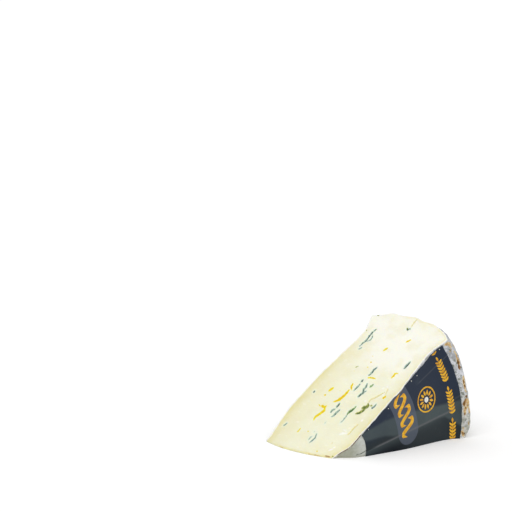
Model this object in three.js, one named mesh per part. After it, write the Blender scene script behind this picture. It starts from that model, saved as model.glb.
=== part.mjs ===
// Wedge of soft blue cheese cut from a round wheel, with the piece of printed
// label that stays on one flat face of the wheel.
//
// Millimetres, +Z up. The wedge stands on one of its two cut faces. The origin
// is the middle of that lower cut face, on the surface it rests on.
//   +X  from the pointed tip to the round rim
//   +Y  from the labelled face of the wheel to its bare face
//   +Z  up
//
// Every point of the cheese is found from three shares:
//   s  distance from the tip line towards the rim
//   v  -1 on the labelled face to +1 on the bare face
//   w  0 on the lower cut face to 1 on the upper cut face

import * as THREE from 'three';

// ---- driving dimensions ----
const WHEEL_R = 95;
const HALF_THICK = 32.6;
const WEDGE_ANGLE = THREE.MathUtils.degToRad(38.4);

// where the tip corner of the labelled face stands, seen from the origin
const TIP_X = -46;

// centre line of the wheel, seen from that tip corner: the cuts miss it a little
const AXIS_X = 5.2;
const AXIS_Z = 3.1;

// the tip line slants back towards the bare face and swells between the faces
const TIP_SLANT = 9.3;
const TIP_SWELL = 5.25;
const TIP_SWELL_REACH = 15;

// the flat faces sag at the tip, thin a little outwards and roll out at the rim
const TIP_SAG_LABEL = 6.25;
const TIP_SAG_LABEL_REACH = 9.5;
const TIP_SAG_BARE = 5.8;
const TIP_SAG_BARE_REACH = 16.4;
const FACE_SAG = 4.7;
const FACE_SAG_FROM = 35;
const FACE_SAG_TO = 88;
const RIM_LIP = 4.8;
const RIM_LIP_REACH = 8.6;

// the round rim is crowned, and it is rounded off where it meets the two cuts
const RIM_CROWN = 10.8;
const CROWN_POWER_LABEL = 2.9;
const CROWN_POWER_BARE = 2.6;
const LOWER_TUCK = 3.6;
const LOWER_TUCK_REACH = 5;
const UPPER_TUCK = 3.5;
const UPPER_TUCK_REACH = 4.6;

// label: a sheet with a round window at the middle of the wheel
const LABEL_X = 4.95;
const LABEL_Z = 3.5;
const LABEL_R = 90.2;
const WINDOW_R = 14.3;
const LABEL_GAP = 0.3;
const LABEL_THICK = 0.35;
const LABEL_INSET = 0.45;
const LABEL_SETBACK = 1.6;
const SETBACK_AT = 76;
const SETBACK_REACH = 13;

// mesh steps
const S_STEPS = 38;
const V_STEPS = 19;
const W_STEPS = 13;
const LABEL_R_STEPS = 26;
const LABEL_A_STEPS = 10;

function smooth(t) {
  const c = THREE.MathUtils.clamp(t, 0, 1);
  return c * c * (3 - 2 * c);
}

function bell(t) {
  return Math.exp(-t * t);
}

// 0 to 1 in even steps drawn together towards both ends
function eased(share, pull) {
  const round = 0.5 - 0.5 * Math.cos(Math.PI * share);
  return share * (1 - pull) + round * pull;
}

// ---- shape of the wheel ----
// how far a flat face lies inside half the thickness
function faceDrop(fromAxis, fromTip, v) {
  const labelled = TIP_SAG_LABEL * bell(fromTip / TIP_SAG_LABEL_REACH);
  const bare = TIP_SAG_BARE * bell(fromTip / TIP_SAG_BARE_REACH);
  const inside = Math.min(fromAxis, WHEEL_R);
  const sag = FACE_SAG * smooth((inside - FACE_SAG_FROM) / (FACE_SAG_TO - FACE_SAG_FROM));
  const lip = RIM_LIP * bell((WHEEL_R - inside) / RIM_LIP_REACH);
  return (v < 0 ? labelled : bare) + sag - lip;
}

function rimRadius(v, angle) {
  const power = v < 0 ? CROWN_POWER_LABEL : CROWN_POWER_BARE;
  const crown = RIM_CROWN * (1 - Math.abs(v) ** power);
  const toUpper = WHEEL_R * Math.sin(WEDGE_ANGLE - angle);
  const lower = LOWER_TUCK * bell(WHEEL_R * Math.sin(angle) / LOWER_TUCK_REACH);
  const upper = UPPER_TUCK * bell(toUpper / UPPER_TUCK_REACH) * (1 - v ** 4);
  return WHEEL_R + crown - lower - upper;
}

function tipSlant(v) {
  return TIP_SLANT * (1 + v) / 2;
}

// distance from the tip line to the rim along one direction
function reach(v, w) {
  const angle = w * WEDGE_ANGLE;
  const startX = -tipSlant(v) - AXIS_X;
  const startZ = -AXIS_Z;
  const along = startX * Math.cos(angle) + startZ * Math.sin(angle);
  const rest = startX ** 2 + startZ ** 2 - rimRadius(v, angle) ** 2;
  return -along + Math.sqrt(along ** 2 - rest);
}

function cheesePoint(share, v, w) {
  const s = share * reach(v, w);
  const angle = w * WEDGE_ANGLE;
  const swell = TIP_SWELL * (1 - v * v) * Math.exp(-s / TIP_SWELL_REACH);
  const x = s * Math.cos(angle) - tipSlant(v) - swell;
  const z = w === 0 ? 0 : s * Math.sin(angle);
  const fromAxis = Math.hypot(x - AXIS_X, z - AXIS_Z);
  const y = v * (HALF_THICK - faceDrop(fromAxis, s, v));
  return new THREE.Vector3(x + TIP_X, y, z);
}

// height of the labelled face at a place seen from its tip corner
function labelFaceY(x, z) {
  const fromAxis = Math.hypot(x - AXIS_X, z - AXIS_Z);
  return -(HALF_THICK - faceDrop(fromAxis, Math.hypot(x, z), -1));
}

// ---- closed meshes from shared, keyed corners ----
class Skin {
  constructor() {
    this.places = [];
    this.faces = [];
    this.keys = new Map();
  }

  corner(key, place) {
    if (!this.keys.has(key)) {
      this.keys.set(key, this.places.length);
      this.places.push(place());
    }
    return this.keys.get(key);
  }

  triangle(a, b, c) {
    if (a !== b && b !== c && c !== a) {
      this.faces.push(a, b, c);
    }
  }

  quad(a, b, c, d) {
    this.triangle(a, b, c);
    this.triangle(a, c, d);
  }

  // a sheet of quads; at(i, j) gives a corner, counter-clockwise seen from outside
  sheet(columns, rows, at) {
    for (let i = 0; i < columns; i += 1) {
      for (let j = 0; j < rows; j += 1) {
        this.quad(at(i, j), at(i + 1, j), at(i + 1, j + 1), at(i, j + 1));
      }
    }
  }

  geometry() {
    const flat = new Float32Array(this.places.flatMap((p) => [p.x, p.y, p.z]));
    const geometry = new THREE.BufferGeometry();
    geometry.setAttribute('position', new THREE.BufferAttribute(flat, 3));
    geometry.setIndex(this.faces);
    geometry.computeVertexNormals();
    return geometry;
  }
}

// ---- cheese: paste and rind in one solid ----
function cheeseGeometry() {
  const skin = new Skin();

  function at(i, j, k) {
    const key = i === 0 ? `tip ${j}` : `${i} ${j} ${k}`;
    const share = eased(i / S_STEPS, 0.5);
    const v = 2 * eased(j / V_STEPS, 0.5) - 1;
    return skin.corner(key, () => cheesePoint(share, v, eased(k / W_STEPS, 0.4)));
  }

  // upper cut face
  skin.sheet(S_STEPS, V_STEPS, (i, j) => at(i, j, W_STEPS));
  // labelled face
  skin.sheet(S_STEPS, W_STEPS, (i, k) => at(i, 0, k));
  // bare face
  skin.sheet(W_STEPS, S_STEPS, (k, i) => at(i, V_STEPS, k));
  // round rim
  skin.sheet(V_STEPS, W_STEPS, (j, k) => at(S_STEPS, j, k));
  // lower cut face, flat
  skin.sheet(V_STEPS, S_STEPS, (j, i) => at(i, j, 0));
  return skin.geometry();
}

// ---- label: a thin sheet between the two cuts ----
// its edge beside the upper cut stands back, most of all where it was torn
function upperLimit(r) {
  const back = LABEL_INSET + LABEL_SETBACK * bell((r - SETBACK_AT) / SETBACK_REACH);
  const sunk = LABEL_X * Math.sin(WEDGE_ANGLE) - LABEL_Z * Math.cos(WEDGE_ANGLE);
  return WEDGE_ANGLE - Math.asin((back - sunk) / r);
}

function lowerLimit(r) {
  return Math.asin((LABEL_INSET - LABEL_Z) / r);
}

function labelGeometry() {
  const skin = new Skin();

  function at(i, k, side) {
    return skin.corner(`${i} ${k} ${side}`, () => {
      const r = WINDOW_R + (LABEL_R - WINDOW_R) * eased(i / LABEL_R_STEPS, 0.5);
      const low = lowerLimit(r);
      const angle = low + (upperLimit(r) - low) * k / LABEL_A_STEPS;
      const x = LABEL_X + r * Math.cos(angle);
      const z = LABEL_Z + r * Math.sin(angle);
      const off = LABEL_GAP + side * LABEL_THICK;
      return new THREE.Vector3(x + TIP_X, labelFaceY(x, z) - off, z);
    });
  }

  const R = LABEL_R_STEPS;
  const A = LABEL_A_STEPS;
  // outer and inner sides, then the four edges
  skin.sheet(R, A, (i, k) => at(i, k, 1));
  skin.sheet(A, R, (k, i) => at(i, k, 0));
  skin.sheet(R, 1, (i, n) => at(i, 0, n));
  skin.sheet(R, 1, (i, n) => at(i, A, 1 - n));
  skin.sheet(A, 1, (k, n) => at(0, k, 1 - n));
  skin.sheet(1, A, (n, k) => at(R, k, 1 - n));
  return skin.geometry();
}

function part(name, geometry, colour, roughness) {
  const material = new THREE.MeshStandardMaterial({ color: colour, roughness, metalness: 0 });
  material.name = name;
  const mesh = new THREE.Mesh(geometry, material);
  mesh.name = name;
  return mesh;
}

const group = new THREE.Group();
group.name = 'blue_cheese_wedge';
group.add(part('cheese', cheeseGeometry(), '#f2efd6', 0.6));
group.add(part('label', labelGeometry(), '#363e49', 0.35));

export default group;
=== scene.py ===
# Wedge of soft blue cheese with the piece of printed label that stays on one flat face.
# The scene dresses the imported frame: +X from tip to rim, +Y from the labelled face to the
# bare one, +Z up, in metres, with the origin in the middle of the lower cut.

import math

import bpy
import numpy as np
from mathutils import Matrix


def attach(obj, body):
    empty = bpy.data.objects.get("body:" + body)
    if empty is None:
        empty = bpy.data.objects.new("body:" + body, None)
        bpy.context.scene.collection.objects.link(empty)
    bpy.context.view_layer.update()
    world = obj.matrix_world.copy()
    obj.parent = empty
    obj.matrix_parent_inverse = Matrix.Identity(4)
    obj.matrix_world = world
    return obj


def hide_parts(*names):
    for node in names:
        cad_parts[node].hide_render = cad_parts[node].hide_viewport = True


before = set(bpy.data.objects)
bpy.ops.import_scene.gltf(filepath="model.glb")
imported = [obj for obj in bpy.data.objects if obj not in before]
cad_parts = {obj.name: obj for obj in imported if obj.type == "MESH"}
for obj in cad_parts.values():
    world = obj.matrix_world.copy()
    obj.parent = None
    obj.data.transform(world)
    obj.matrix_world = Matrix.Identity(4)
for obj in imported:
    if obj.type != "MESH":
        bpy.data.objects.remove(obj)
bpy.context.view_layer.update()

MM = 0.001


# ---- camera ----
# The camera looks at the tip and the labelled face from a little above, turned a degree about
# its own line of sight. It comes first because the marks on the cut are placed through it.
PHOTO_SIZE = 512
LENS_PIXELS = 1800
SENSOR_MM = 36
CAMERA_PLACE = (-0.6705, -0.8127, 0.2716)
CAMERA_HEADING = math.radians(35.82)
CAMERA_TILT = math.radians(8.77)
CAMERA_ROLL = math.radians(1.03)

level_right = np.array([math.cos(CAMERA_HEADING), -math.sin(CAMERA_HEADING), 0])
look = np.array([
    math.sin(CAMERA_HEADING) * math.cos(CAMERA_TILT),
    math.cos(CAMERA_HEADING) * math.cos(CAMERA_TILT),
    -math.sin(CAMERA_TILT),
])
level_up = np.cross(level_right, look)
look_right = math.cos(CAMERA_ROLL) * level_right + math.sin(CAMERA_ROLL) * level_up
look_up = math.cos(CAMERA_ROLL) * level_up - math.sin(CAMERA_ROLL) * level_right

lens = bpy.data.cameras.new("camera")
lens.sensor_width = SENSOR_MM
lens.lens = LENS_PIXELS * SENSOR_MM / PHOTO_SIZE
camera = bpy.data.objects.new("camera", lens)
turned = Matrix(np.column_stack([look_right, look_up, -look]).tolist()).to_4x4()
camera.matrix_world = Matrix.Translation(CAMERA_PLACE) @ turned
bpy.context.scene.collection.objects.link(camera)
bpy.context.scene.camera = camera


# ---- cheese: paste and rind ----
# The real piece is a sector cut with a knife from a round soft blue cheese: cream paste inside
# a thin grey rind, all one solid. It repeats the solid of the frame at a fine step, so that the
# rounded cut edges, the small holes and the relief of the rind can show.
WHEEL_R = 95 * MM
HALF_THICK = 32.6 * MM
WEDGE_ANGLE = math.radians(38.4)
TIP_X = -46 * MM
AXIS_X = 5.2 * MM
AXIS_Z = 3.1 * MM
TIP_SLANT = 9.3 * MM
TIP_SWELL = 5.25 * MM
TIP_SWELL_REACH = 15 * MM
TIP_SAG_LABEL = 6.25 * MM
TIP_SAG_LABEL_REACH = 9.5 * MM
TIP_SAG_BARE = 5.8 * MM
TIP_SAG_BARE_REACH = 16.4 * MM
FACE_SAG = 4.7 * MM
FACE_SAG_FROM = 35 * MM
FACE_SAG_TO = 88 * MM
RIM_LIP = 4.8 * MM
RIM_LIP_REACH = 8.6 * MM
RIM_CROWN = 10.8 * MM
CROWN_POWER_LABEL = 2.9
CROWN_POWER_BARE = 2.6
LOWER_TUCK = 3.6 * MM
LOWER_TUCK_REACH = 5 * MM
UPPER_TUCK = 3.5 * MM
UPPER_TUCK_REACH = 4.6 * MM

# the knife leaves the end of the upper cut wavy: place across, height, reach below the cut
EDGE_WAVES = [
    (0.60, 1.2 * MM, 7 * MM),
    (0.35, -0.2 * MM, 7 * MM),
    (0.03, 1.0 * MM, 7 * MM),
    (-0.20, -0.1 * MM, 7 * MM),
    (-0.43, 0.8 * MM, 7 * MM),
    (-0.62, 0.5 * MM, 7 * MM),
    (-0.82, -1.7 * MM, 7 * MM),
    (-0.82, 2.5 * MM, 2.2 * MM),
]
EDGE_WAVE_WIDTH = 0.13
RIM_SWELL = 0.8 * MM
SWELL_BELOW = 16 * MM
SWELL_REACH = 8 * MM

# the soft paste stands up from the flat of the upper cut beside the labelled face
CUT_SLOPE = math.sin(WEDGE_ANGLE), math.cos(WEDGE_ANGLE)
CUT_RISE = 1.0 * MM
RISE_START = 8 * MM
RISE_END = 57 * MM
RISE_IN = 14 * MM
RISE_OUT = 9 * MM
RISE_FROM_SIDE = -0.2

STEPS_ALONG = 190
STEPS_ACROSS = 122
STEPS_ROUND = 96
STEPS_PULL = 0.45
EDGE_ROUNDING = 0.6 * MM
ROUNDING_SHARE = 1.3
EDGE_PASSES = 4
EDGE_PULL = 0.6


def smooth(t):
    c = np.clip(t, 0, 1)
    return c * c * (3 - 2 * c)


def bell(t):
    return np.exp(-t * t)


def eased(count, pull):
    """Shares from 0 to 1, drawn together towards both ends."""
    share = np.linspace(0, 1, count + 1)
    return share * (1 - pull) + (0.5 - 0.5 * np.cos(np.pi * share)) * pull


def face_drop(from_axis, from_tip, v):
    labelled = TIP_SAG_LABEL * bell(from_tip / TIP_SAG_LABEL_REACH)
    bare = TIP_SAG_BARE * bell(from_tip / TIP_SAG_BARE_REACH)
    inside = np.minimum(from_axis, WHEEL_R)
    sag = FACE_SAG * smooth((inside - FACE_SAG_FROM) / (FACE_SAG_TO - FACE_SAG_FROM))
    lip = RIM_LIP * bell((WHEEL_R - inside) / RIM_LIP_REACH)
    return np.where(v < 0, labelled, bare) + sag - lip


def rim_radius(v, angle):
    power = np.where(v < 0, CROWN_POWER_LABEL, CROWN_POWER_BARE)
    crown = RIM_CROWN * (1 - np.abs(v) ** power)
    to_upper = WHEEL_R * np.sin(WEDGE_ANGLE - angle)
    lower = LOWER_TUCK * bell(WHEEL_R * np.sin(angle) / LOWER_TUCK_REACH)
    upper = UPPER_TUCK * bell(to_upper / UPPER_TUCK_REACH) * (1 - v**4)
    swell = RIM_SWELL * bell((to_upper - SWELL_BELOW) / SWELL_REACH) * smooth(-2 * v)
    for at, high, far in EDGE_WAVES:
        swell = swell + high * bell((v - at) / EDGE_WAVE_WIDTH) * bell(to_upper / far)
    return WHEEL_R + crown - lower - upper + swell


def reach(v, w):
    angle = w * WEDGE_ANGLE
    start_x = -TIP_SLANT * (1 + v) / 2 - AXIS_X
    along = start_x * np.cos(angle) - AXIS_Z * np.sin(angle)
    return -along + np.sqrt(along**2 - start_x**2 - AXIS_Z**2 + rim_radius(v, angle) ** 2)


def cut_rise(s, v):
    along = smooth((s - RISE_START) / RISE_IN) * smooth((RISE_END - s) / RISE_OUT)
    return CUT_RISE * along * smooth((RISE_FROM_SIDE - v) / (1 + RISE_FROM_SIDE))


def cheese_grid(share, v, w):
    """Points of a sheet and, for each, how deep under the rind it lies and how far from a cut."""
    s = share * reach(v, w)
    angle = w * WEDGE_ANGLE
    swell = TIP_SWELL * (1 - v * v) * np.exp(-s / TIP_SWELL_REACH)
    rise = cut_rise(s, v) * w**2
    x = s * np.cos(angle) - TIP_SLANT * (1 + v) / 2 - swell - rise * CUT_SLOPE[0]
    z = s * np.sin(angle) + rise * CUT_SLOPE[1]
    from_axis = np.hypot(x - AXIS_X, z - AXIS_Z)
    half = HALF_THICK - face_drop(from_axis, s, v)
    under_face = half * (1 - np.abs(v))
    under_rim = rim_radius(v, angle) - from_axis
    from_cut = np.minimum(z, s * np.sin(WEDGE_ANGLE - angle))
    under_rind = np.minimum(under_face, under_rim)
    columns = (x + TIP_X, v * half, z, under_rind, from_cut, s, v)
    return np.stack(np.broadcast_arrays(*columns), -1)


s_steps = eased(STEPS_ALONG, STEPS_PULL)
v_steps = 2 * eased(STEPS_ACROSS, STEPS_PULL) - 1
w_steps = eased(STEPS_ROUND, STEPS_PULL)
sheets = [
    cheese_grid(s_steps[:, None], v_steps[None, :], 1.0),
    cheese_grid(s_steps[None, :], v_steps[:, None], 0.0),
    cheese_grid(s_steps[:, None], -1.0, w_steps[None, :]),
    cheese_grid(s_steps[None, :], 1.0, w_steps[:, None]),
    cheese_grid(1.0, v_steps[:, None], w_steps[None, :]),
]
CUT_SHEETS = 2


def grid_quads(rows, columns, start):
    """Corner numbers of the quads of one sheet."""
    number = start + np.arange(rows * columns).reshape(rows, columns)
    corners = [number[:-1, :-1], number[1:, :-1], number[1:, 1:], number[:-1, 1:]]
    return np.stack([c.ravel() for c in corners], -1)


points, quads, on_cut = [], [], []
for index, grid in enumerate(sheets):
    count = sum(len(p) for p in points)
    quads.append(grid_quads(grid.shape[0], grid.shape[1], count))
    points.append(grid.reshape(-1, grid.shape[2]))
    on_cut.append(np.full(len(quads[-1]), index < CUT_SHEETS))
points, quads, on_cut = np.concatenate(points), np.concatenate(quads), np.concatenate(on_cut)

# the sheets share their borders: corners at one place become one
key = np.round(points[:, :3] / (MM * 1e-3)).astype(np.int64)
first, same = np.unique(key, axis=0, return_index=True, return_inverse=True)[1:]
points, quads = points[first], same.reshape(-1)[quads]
spots, under_rind, from_cut, from_tip, side = points[:, :3], *points[:, 3:].T

# the cut edges are rounded: corners near one move to the middle of their neighbours
links = np.concatenate([quads[:, [0, 1]], quads[:, [1, 2]], quads[:, [2, 3]], quads[:, [3, 0]]])
links = links[links[:, 0] != links[:, 1]]
links = np.unique(np.sort(links, axis=1), axis=0)
from_edge = np.maximum(under_rind, from_cut)
near_edge = np.clip(ROUNDING_SHARE - from_edge / EDGE_ROUNDING, 0, 1)[:, None]
shares = np.bincount(links.ravel(), minlength=len(spots))[:, None]
for _ in range(EDGE_PASSES):
    pulled = np.zeros_like(spots)
    np.add.at(pulled, links[:, 0], spots[links[:, 1]])
    np.add.at(pulled, links[:, 1], spots[links[:, 0]])
    spots = spots + near_edge * (pulled / shares - spots) * EDGE_PULL

# the knife also drags the edges beside the flat faces a little, most of all on the bare side
DRAG_BARE = 0.25 * MM
DRAG_LABEL = 0.14 * MM
DRAG_REACH = 1.5 * MM
DRAG_INWARDS = 0.6
DRAG_FROM_SIDE = 0.8
DRAG_FADE = 0.15
RIPPLE_SHORT = 1.7 * MM
RIPPLE_LONG = 3.9 * MM
RIPPLE_SWAY = 5.3 * MM

ripple = np.sin(from_tip / RIPPLE_SHORT + 2 * np.sin(from_tip / RIPPLE_SWAY))
ripple = ripple + np.sin(from_tip / RIPPLE_LONG) - DRAG_INWARDS
beside_face = smooth((np.abs(side) - DRAG_FROM_SIDE) / DRAG_FADE)
drag = np.where(side > 0, DRAG_BARE, DRAG_LABEL) * ripple * beside_face
spots[:, 1] += np.sign(side) * drag * bell(from_edge / DRAG_REACH)
spots[:, 2] = np.maximum(spots[:, 2], 0)


# The mould grows in the needle holes and cracks of the paste: narrow blue and green pockets, the
# larger ones sunk, and yellow ones where it is young. The rim has brown and tan crusts. Each
# stroke is a width and the spots it runs through, in pixels of the photograph.
STROKES = {
    "blue": [
        (1.9, (368.3, 375.2), (370.1, 374.0), (372.3, 371.6), (373.6, 369.6), (377.1, 366.9)),
        (1.4, (360.5, 381.5), (363.4, 379.3)),
        (1.5, (353.0, 390.8), (356.0, 388.0), (358.9, 385.2), (360.1, 383.2)),
        (1.1, (366.6, 390.2), (364.2, 392.2)),
        (2.0, (367.0, 383.2), (365.8, 386.6), (363.5, 389.0), (362.5, 392.8)),
        (1.9, (363.4, 391.4), (362.4, 393.2), (360.6, 394.2), (357.7, 396.9)),
        (3.2, (365.6, 386.1), (366.1, 386.8)),
        (3.0, (362.5, 392.4), (363.0, 393.2)),
        (2.4, (361.2, 381.2), (362.0, 380.4)),
        (1.9, (336.1, 407.2), (339.8, 402.9)),
        (1.9, (330.2, 412.3), (332.4, 409.8), (335.2, 408.5)),
        (2.0, (331.5, 416.4), (333.9, 414.9), (336.8, 411.8), (339.8, 409.2)),
        (1.9, (371.2, 408.4), (373.6, 406.6), (376.1, 404.0)),
        (1.5, (313.3, 392.3), (314.8, 390.4)),
        (1.1, (283.2, 425.6), (285.0, 424.3), (287.1, 422.7)),
        (1.4, (309.2, 442.4), (312.4, 440.0), (314.8, 437.6), (316.7, 433.2)),
        (1.6, (314.0, 438.0), (315.4, 437.0)),
        (1.0, (308.2, 439.8), (310.1, 437.4), (312.4, 435.7)),
        (0.8, (313.6, 432.4), (314.6, 430.6)),
        (0.6, (324.5, 423.2), (326.7, 421.0)),
        (1.1, (340.2, 422.9), (343.2, 419.6), (345.6, 416.6), (347.4, 413.8)),
        (1.6, (359.3, 346.2), (362.2, 343.1), (366.0, 340.4), (369.3, 335.6), (372.5, 331.8), (376.5, 328.8)),
        (1.0, (372.4, 333.8), (372.3, 336.6), (370.4, 339.6), (367.1, 341.2)),
        (1.1, (358.5, 349.0), (361.9, 347.2)),
        (2.0, (403.8, 368.5), (406.4, 365.6), (410.2, 361.5)),
        (2.6, (406.6, 329.4), (408.4, 329.0)),
        (1.5, (409.4, 329.0), (410.3, 328.4)),
    ],
    "green": [
        (1.7, (369.7, 387.0), (373.2, 384.1)),
        (1.0, (346.4, 415.2), (348.6, 411.8)),
        (2.5, (347.3, 413.5), (349.2, 411.4), (351.6, 410.1), (353.4, 408.6)),
        (1.6, (351.4, 410.2), (353.6, 408.6), (356.1, 405.8)),
    ],
    "olive": [
        (2.4, (355.2, 413.5), (359.4, 412.5), (362.9, 410.3), (365.2, 408.0)),
        (3.0, (361.9, 408.2), (363.4, 407.3), (365.6, 406.2)),
        (3.2, (363.8, 408.0), (366.8, 406.4), (368.6, 404.9)),
        (1.6, (367.8, 406.4), (368.1, 402.8)),
        (1.2, (369.9, 406.1), (372.1, 405.2)),
        (1.0, (377.5, 315.4), (379.0, 315.2)),
        (1.6, (406.6, 328.6), (407.4, 328.0)),
        (1.0, (366.2, 330.4), (366.7, 330.1)),
        (0.9, (355.6, 367.3), (358.5, 365.7)),
        (1.2, (331.9, 456.3), (333.4, 456.4)),
    ],
    "yellow": [
        (1.8, (367.8, 377.8), (370.6, 377.7), (375.6, 378.6)),
        (2.0, (353.0, 383.2), (351.2, 386.8), (351.7, 390.0)),
        (2.3, (329.0, 390.9), (333.5, 387.7)),
        (1.9, (324.4, 395.3), (325.8, 394.8)),
        (2.4, (333.4, 401.9), (337.9, 400.4), (342.9, 396.8), (346.4, 393.3), (349.1, 389.9)),
        (2.9, (338.2, 400.6), (341.0, 398.6)),
        (2.3, (313.3, 420.0), (315.5, 416.6), (320.1, 413.6), (324.4, 410.5), (324.6, 407.6), (326.4, 405.6)),
        (2.9, (321.6, 405.6), (324.6, 407.2)),
        (1.5, (318.9, 404.4), (320.4, 406.4)),
        (2.1, (382.5, 398.8), (385.9, 396.0)),
        (1.8, (391.1, 378.2), (393.8, 375.8), (395.0, 373.4), (398.1, 373.5)),
        (1.5, (405.8, 342.4), (410.8, 339.7)),
        (1.7, (383.2, 350.9), (387.8, 347.8)),
        (1.6, (367.4, 366.6), (367.6, 367.4)),
        (1.8, (370.6, 362.3), (371.2, 362.2)),
        (1.2, (353.9, 370.9), (354.4, 370.7)),
        (1.0, (372.4, 356.1), (372.8, 355.9)),
        (1.0, (370.0, 353.4), (370.3, 353.3)),
        (1.0, (296.9, 432.3), (298.8, 430.6), (300.6, 428.0)),
        (1.6, (307.7, 431.4), (308.5, 430.9)),
        (1.8, (316.7, 451.4), (317.3, 451.2)),
        (1.0, (339.7, 390.8), (340.3, 390.4)),
    ],
    # cracks in the paste; the fourth stroke is painted shadow in a groove beside the knife smears
    "crack_and_shade": [
        (1.4, (368.3, 402.4), (370.4, 399.4), (375.1, 397.3), (381.1, 393.9), (384.6, 392.1)),
        (1.2, (385.4, 394.3), (386.3, 392.1), (388.0, 388.5)),
        (1.2, (410.4, 327.4), (412.6, 324.6), (414.6, 321.6), (416.8, 319.2)),
        (1.5, (347.4, 434.8), (349.7, 432.7), (352.4, 429.2), (355.0, 426.6), (358.2, 423.9)),
        (1.4, (331.6, 443.0), (332.3, 442.5)),
    ],
    # knife smears: paler paste pressed into low ridges, partly a painted highlight on the ridges
    "smear": [
        (1.3, (343.2, 429.8), (346.6, 431.4)),
        (1.3, (348.6, 428.6), (350.4, 427.8)),
        (2.2, (339.4, 434.6), (343.0, 433.6), (346.4, 433.2)),
        (1.9, (361.2, 421.2), (362.8, 419.8)),
        (1.4, (328.6, 450.5), (333.2, 449.0)),
        (1.4, (333.4, 447.9), (335.4, 447.0)),
        (1.6, (382.0, 388.9), (384.8, 387.9)),
        (1.6, (386.6, 387.3), (388.4, 386.2)),
        (1.2, (381.4, 395.2), (385.0, 393.9)),
        (1.8, (365.0, 402.0), (366.0, 400.2)),
        (1.2, (369.4, 404.2), (370.2, 403.2)),
    ],
    # painted shadow: a yellow-brown line along the lower edge of the tip, where it meets the floor
    "tip_shadow": [
        (1.7, (325.0, 455.8), (327.4, 456.3), (330.0, 456.9)),
        (0.8, (308.0, 453.8), (314.0, 454.9), (320.0, 455.8)),
        (0.7, (280.0, 446.9), (283.0, 447.9)),
    ],
    "tan": [
        (2.7, (445.0, 345.3), (447.2, 344.1), (449.2, 343.2), (450.4, 344.0)),
        (2.6, (448.4, 345.4), (450.2, 344.4)),
        (1.4, (454.4, 350.7), (456.0, 353.9), (456.9, 357.8)),
        (2.9, (457.4, 358.0), (458.6, 361.6), (459.2, 365.0)),
        (2.3, (463.4, 376.0), (463.7, 380.0), (464.4, 384.0), (465.2, 388.4)),
        (1.1, (465.4, 389.8), (465.9, 391.8)),
        (2.2, (467.8, 399.0), (468.3, 402.6), (467.5, 405.9), (466.3, 409.0)),
        (2.7, (466.4, 399.6), (465.0, 402.6), (464.4, 406.0)),
        (2.3, (465.2, 407.0), (464.9, 410.4), (465.4, 414.4)),
        (1.2, (463.4, 427.6), (463.7, 429.0)),
        (2.9, (462.2, 430.8), (462.8, 433.4), (463.6, 436.2)),
        (1.4, (468.9, 407.5), (469.4, 413.0)),
        (1.4, (468.4, 422.2), (468.6, 424.4)),
    ],
    "brown": [
        (1.7, (458.2, 360.0), (458.4, 362.6), (459.2, 365.4)),
        (2.6, (459.2, 365.4), (459.8, 368.9)),
        (1.3, (463.6, 380.2), (464.2, 383.6)),
        (1.3, (464.9, 385.2), (465.3, 387.2)),
        (2.0, (466.5, 395.8), (466.9, 397.4)),
        (1.9, (465.8, 400.2), (464.4, 402.6), (463.6, 404.1), (464.4, 406.0)),
        (1.2, (467.8, 404.8), (468.0, 405.8)),
        (1.2, (463.0, 409.2), (463.5, 410.2)),
        (1.3, (465.4, 407.4), (466.4, 409.0)),
        (1.5, (464.9, 413.0), (465.2, 415.2)),
        (1.3, (462.6, 432.2), (463.0, 434.8)),
        (1.2, (464.6, 433.6), (464.9, 434.6)),
        (2.6, (333.2, 456.7), (334.4, 456.7)),
    ],
    "grey": [
        (1.8, (454.2, 360.2), (455.0, 361.0)),
        (1.0, (455.2, 361.2), (456.6, 362.6)),
        (1.6, (456.6, 362.6), (457.6, 363.8)),
        (1.3, (461.3, 367.0), (461.7, 368.4)),
        (1.6, (461.0, 375.0), (461.4, 376.4)),
        (1.9, (458.5, 378.8), (459.3, 379.9)),
        (1.1, (457.8, 381.6), (458.5, 383.0)),
        (1.1, (460.4, 387.6), (461.4, 390.6)),
        (1.5, (461.2, 392.0), (463.2, 394.6)),
        (1.4, (462.0, 396.0), (461.6, 398.4)),
        (1.1, (463.4, 392.6), (464.4, 396.0)),
        (1.1, (448.6, 349.0), (450.4, 350.6)),
        (1.0, (452.6, 364.6), (453.6, 367.0)),
        (1.2, (455.6, 371.6), (456.8, 373.4)),
        (1.2, (468.1, 422.6), (468.3, 424.0)),
        (1.0, (465.0, 421.0), (466.6, 418.6)),
        # painted shade in a crack of the rind along the foot of the window
        (0.9, (356.4, 454.9), (360.8, 453.9), (364.2, 451.6), (365.6, 450.5)),
    ],
}
RIND_KINDS = "tan", "brown", "grey"
STAINS_TO_SIDE = -0.2
PIXEL_ON_PIECE = 0.8 * MM
STROKE_TAPER = 0.5
FAR_OUTSIDE = 9 * MM


def seen_at(places):
    """The pixel of the photograph at which each place shows."""
    seen = places - np.array(CAMERA_PLACE)
    ahead = seen @ look
    across = PHOTO_SIZE / 2 + LENS_PIXELS * (seen @ look_right) / ahead
    down = PHOTO_SIZE / 2 - LENS_PIXELS * (seen @ look_up) / ahead
    return np.stack([across, down], -1)


def inside_strokes(spots, strokes):
    """How far inside the nearest stroke each spot lies; below zero outside."""
    inside = np.full(len(spots), -np.inf)
    for width, *line in strokes:
        line = np.array(line)
        run = np.concatenate([[0], np.cumsum(np.linalg.norm(np.diff(line, axis=0), axis=1))])
        for start, end, before, after in zip(line[:-1], line[1:], run[:-1], run[1:]):
            along = np.clip((spots - start) @ (end - start) / (after - before) ** 2, 0, 1)
            gap = np.linalg.norm(spots - start - along[:, None] * (end - start), axis=1)
            share = (before + along * (after - before)) / run[-1]
            half = width / 2 * (1 - STROKE_TAPER * np.abs(2 * share - 1) ** 3)
            inside = np.maximum(inside, half - gap)
    return inside


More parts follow.
